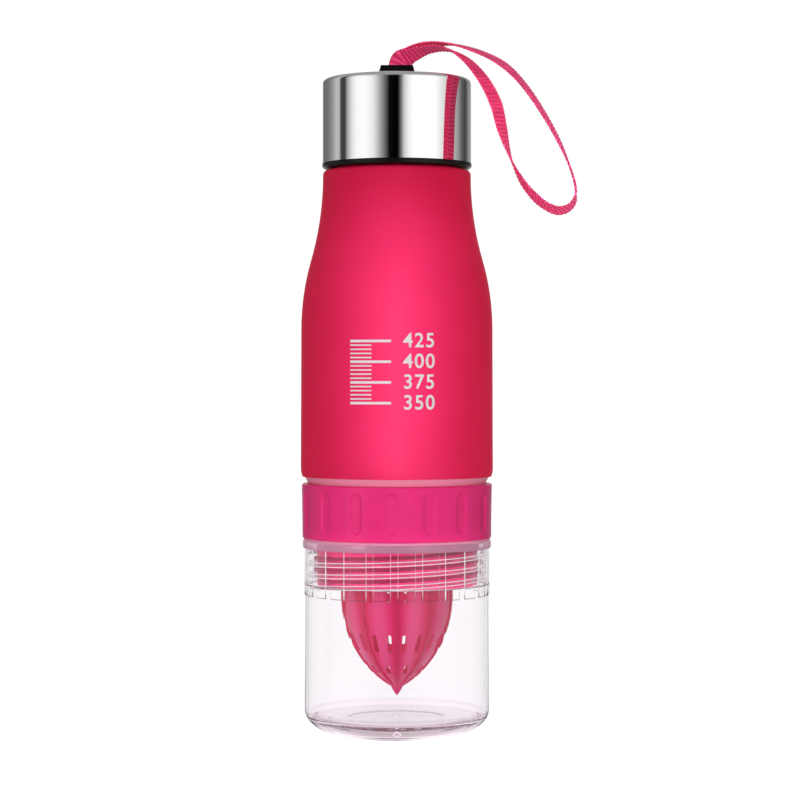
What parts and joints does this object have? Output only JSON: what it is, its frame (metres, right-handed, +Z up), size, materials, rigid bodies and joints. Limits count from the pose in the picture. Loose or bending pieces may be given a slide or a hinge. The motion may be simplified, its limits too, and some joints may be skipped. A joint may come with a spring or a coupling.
{
  "type": "fruit infuser water bottle",
  "caption": "Two-part water bottle: pink body with a steel strap cap above, and a clear screw-on cup below that holds a ribbed citrus reamer.",
  "frame": {"origin": "on the floor, in the middle of the cup's foot, measured without the hanging strap", "axes": "+Z up along the bottle, -Y towards the front, the strap hangs to +X and towards the front"},
  "size_m": [0.099, 0.07, 0.2508],
  "materials": {
    "clear_cup": "clear, gloss",
    "pale_seal": "translucent silicone, satin",
    "pink_collar": "satin",
    "pink_reamer": "gloss, slightly translucent",
    "pink_body": "soft matte",
    "black_liner": "satin",
    "polished_steel": "polished",
    "black_anchor": "satin",
    "pink_tape": "woven, ribbed"
  },
  "bodies": {
    "cup": {"cup": "clear_cup"},
    "cup_seal": {"cup_seal": "pale_seal"},
    "collar": {"collar": "pink_collar", "reamer": "pink_reamer"},
    "body_seal": {"body_seal": "pale_seal"},
    "bottle": {"bottle_body": "pink_body"},
    "cap_seal": {"cap_seal": "pale_seal"},
    "cap": {"cap_liner": "black_liner", "cap_shell": "polished_steel", "strap_anchor": "black_anchor", "strap": "pink_tape"}
  },
  "joints": [
    {"name": "cup_rise", "type": "slide", "parent": "cup", "child": "cup_seal", "axis": [0, 0, 1], "range_m": [0, 0.01621]},
    {"name": "cup_turn", "type": "hinge", "parent": "cup_seal", "child": "collar", "pos_m": [0, 0, 0], "axis": [0, 0, 1], "range_deg": [0, 720]},
    {"name": "body_rise", "type": "slide", "parent": "collar", "child": "body_seal", "axis": [0, 0, 1], "range_m": [0, 0.01216]},
    {"name": "body_turn", "type": "hinge", "parent": "body_seal", "child": "bottle", "pos_m": [0, 0, 0], "axis": [0, 0, 1], "range_deg": [0, 540]},
    {"name": "cap_rise", "type": "slide", "parent": "bottle", "child": "cap_seal", "axis": [0, 0, 1], "range_m": [0, 0.01001]},
    {"name": "cap_turn", "type": "hinge", "parent": "cap_seal", "child": "cap", "pos_m": [0, 0, 0], "axis": [0, 0, 1], "range_deg": [0, 900]}
  ],
  "couplings": [
    {"joint": "cup_rise", "follows": "cup_turn", "m_per_rad": 0.0012892},
    {"joint": "body_rise", "follows": "body_turn", "m_per_rad": 0.0012892},
    {"joint": "cap_rise", "follows": "cap_turn", "m_per_rad": 0.00063662}
  ]
}
